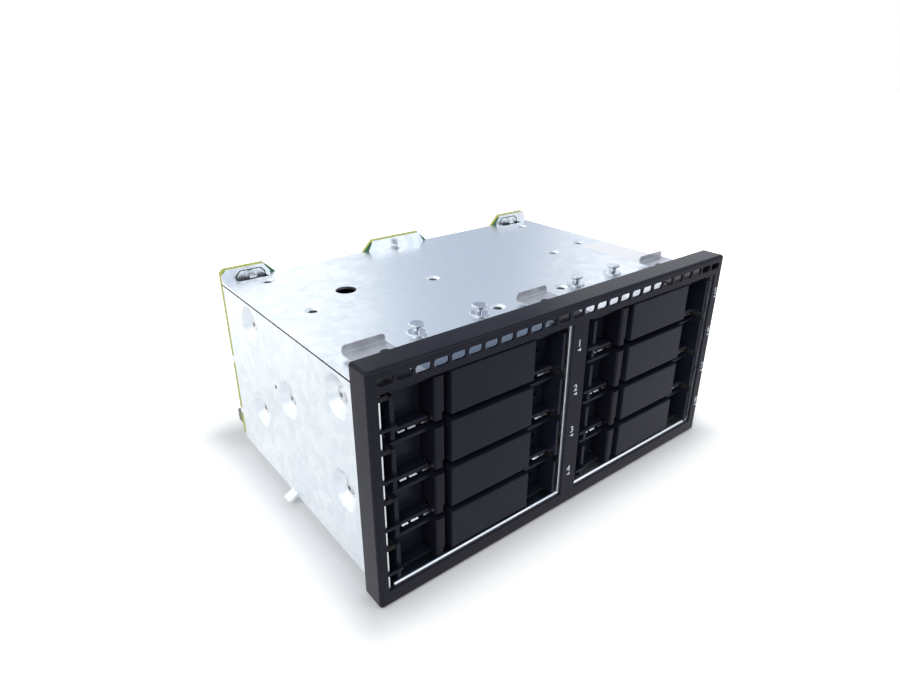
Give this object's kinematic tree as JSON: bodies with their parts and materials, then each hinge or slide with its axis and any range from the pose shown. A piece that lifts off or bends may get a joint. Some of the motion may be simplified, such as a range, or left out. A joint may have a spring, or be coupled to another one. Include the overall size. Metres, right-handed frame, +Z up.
{
  "type": "hot swap drive cage",
  "caption": "Sheet-metal cage for two columns of hot-swap 2.5-inch drives, with a black bezel, a backplane, and blanks with release levers in the bays.",
  "frame": {"origin": "ground plane, midway across the cage and midway along its depth", "axes": "+X along the cage's width, to the right seen from the front; +Y from the bezel to the backplane; +Z up"},
  "size_m": [0.1766, 0.131, 0.086],
  "materials": {
    "galvanised_sheet": "satin zinc",
    "stud_steel": "bright plated",
    "screw_steel": "zinc plated",
    "clip_steel": "spring steel",
    "shield_spring": "bright",
    "bezel_plastic": "fine satin",
    "blank_plastic": "satin",
    "lever_plastic": "satin",
    "guide_plastic": "matt",
    "circuit_board": "solder mask",
    "socket_plastic": "matt",
    "signal_socket": "matt"
  },
  "bodies": {
    "cage": {"cage_tray": "galvanised_sheet", "top_cover": "galvanised_sheet", "top_studs": "stud_steel", "centre_divider": "galvanised_sheet", "left_outer_guide": "guide_plastic", "left_outer_springs": "shield_spring", "left_inner_guide": "guide_plastic", "left_inner_springs": "shield_spring", "right_inner_guide": "guide_plastic", "right_inner_springs": "shield_spring", "right_outer_guide": "guide_plastic", "right_outer_springs": "shield_spring", "left_guide_screws": "screw_steel", "right_guide_screws": "screw_steel", "backplane_screws": "screw_steel", "front_bezel": "bezel_plastic", "left_clip": "clip_steel", "middle_clip": "clip_steel", "right_clip": "clip_steel", "backplane_board": "circuit_board", "drive_connector_1": "socket_plastic", "drive_connector_2": "socket_plastic", "drive_connector_3": "socket_plastic", "drive_connector_4": "socket_plastic", "drive_connector_5": "socket_plastic", "drive_connector_6": "socket_plastic", "drive_connector_7": "socket_plastic", "drive_connector_8": "socket_plastic", "data_connector_1": "socket_plastic", "data_connector_2": "socket_plastic", "power_connector": "socket_plastic", "signal_connector": "signal_socket"},
    "blank_1": {"drive_blank_1": "blank_plastic"},
    "lever_1": {"blank_lever_1": "lever_plastic"},
    "blank_2": {"drive_blank_2": "blank_plastic"},
    "lever_2": {"blank_lever_2": "lever_plastic"},
    "blank_3": {"drive_blank_3": "blank_plastic"},
    "lever_3": {"blank_lever_3": "lever_plastic"},
    "blank_4": {"drive_blank_4": "blank_plastic"},
    "lever_4": {"blank_lever_4": "lever_plastic"},
    "blank_5": {"drive_blank_5": "blank_plastic"},
    "lever_5": {"blank_lever_5": "lever_plastic"},
    "blank_6": {"drive_blank_6": "blank_plastic"},
    "lever_6": {"blank_lever_6": "lever_plastic"},
    "blank_7": {"drive_blank_7": "blank_plastic"},
    "lever_7": {"blank_lever_7": "lever_plastic"},
    "blank_8": {"drive_blank_8": "blank_plastic"},
    "lever_8": {"blank_lever_8": "lever_plastic"}
  },
  "joints": [
    {"name": "blank_1_slide", "type": "slide", "parent": "cage", "child": "blank_1", "axis": [0, -1, 0], "range_m": [0, 0.08]},
    {"name": "lever_1_hinge", "type": "hinge", "parent": "blank_1", "child": "lever_1", "pos_m": [-0.0613, -0.0295, 0.06935], "axis": [0, 0, 1], "range_deg": [0, 3], "stiffness_Nm_per_rad": 0.1, "springref_deg": -5.73},
    {"name": "blank_2_slide", "type": "slide", "parent": "cage", "child": "blank_2", "axis": [0, -1, 0], "range_m": [0, 0.08]},
    {"name": "lever_2_hinge", "type": "hinge", "parent": "blank_2", "child": "lever_2", "pos_m": [-0.0613, -0.0295, 0.0515], "axis": [0, 0, 1], "range_deg": [0, 3], "stiffness_Nm_per_rad": 0.1, "springref_deg": -5.73},
    {"name": "blank_3_slide", "type": "slide", "parent": "cage", "child": "blank_3", "axis": [0, -1, 0], "range_m": [0, 0.08]},
    {"name": "lever_3_hinge", "type": "hinge", "parent": "blank_3", "child": "lever_3", "pos_m": [-0.0613, -0.0295, 0.03365], "axis": [0, 0, 1], "range_deg": [0, 3], "stiffness_Nm_per_rad": 0.1, "springref_deg": -5.73},
    {"name": "blank_4_slide", "type": "slide", "parent": "cage", "child": "blank_4", "axis": [0, -1, 0], "range_m": [0, 0.08]},
    {"name": "lever_4_hinge", "type": "hinge", "parent": "blank_4", "child": "lever_4", "pos_m": [-0.0613, -0.0295, 0.0158], "axis": [0, 0, 1], "range_deg": [0, 3], "stiffness_Nm_per_rad": 0.1, "springref_deg": -5.73},
    {"name": "blank_5_slide", "type": "slide", "parent": "cage", "child": "blank_5", "axis": [0, -1, 0], "range_m": [0, 0.08]},
    {"name": "lever_5_hinge", "type": "hinge", "parent": "blank_5", "child": "lever_5", "pos_m": [0.0262, -0.0295, 0.06935], "axis": [0, 0, 1], "range_deg": [0, 3], "stiffness_Nm_per_rad": 0.1, "springref_deg": -5.73},
    {"name": "blank_6_slide", "type": "slide", "parent": "cage", "child": "blank_6", "axis": [0, -1, 0], "range_m": [0, 0.08]},
    {"name": "lever_6_hinge", "type": "hinge", "parent": "blank_6", "child": "lever_6", "pos_m": [0.0262, -0.0295, 0.0515], "axis": [0, 0, 1], "range_deg": [0, 3], "stiffness_Nm_per_rad": 0.1, "springref_deg": -5.73},
    {"name": "blank_7_slide", "type": "slide", "parent": "cage", "child": "blank_7", "axis": [0, -1, 0], "range_m": [0, 0.08]},
    {"name": "lever_7_hinge", "type": "hinge", "parent": "blank_7", "child": "lever_7", "pos_m": [0.0262, -0.0295, 0.03365], "axis": [0, 0, 1], "range_deg": [0, 3], "stiffness_Nm_per_rad": 0.1, "springref_deg": -5.73},
    {"name": "blank_8_slide", "type": "slide", "parent": "cage", "child": "blank_8", "axis": [0, -1, 0], "range_m": [0, 0.08]},
    {"name": "lever_8_hinge", "type": "hinge", "parent": "blank_8", "child": "lever_8", "pos_m": [0.0262, -0.0295, 0.0158], "axis": [0, 0, 1], "range_deg": [0, 3], "stiffness_Nm_per_rad": 0.1, "springref_deg": -5.73}
  ]
}
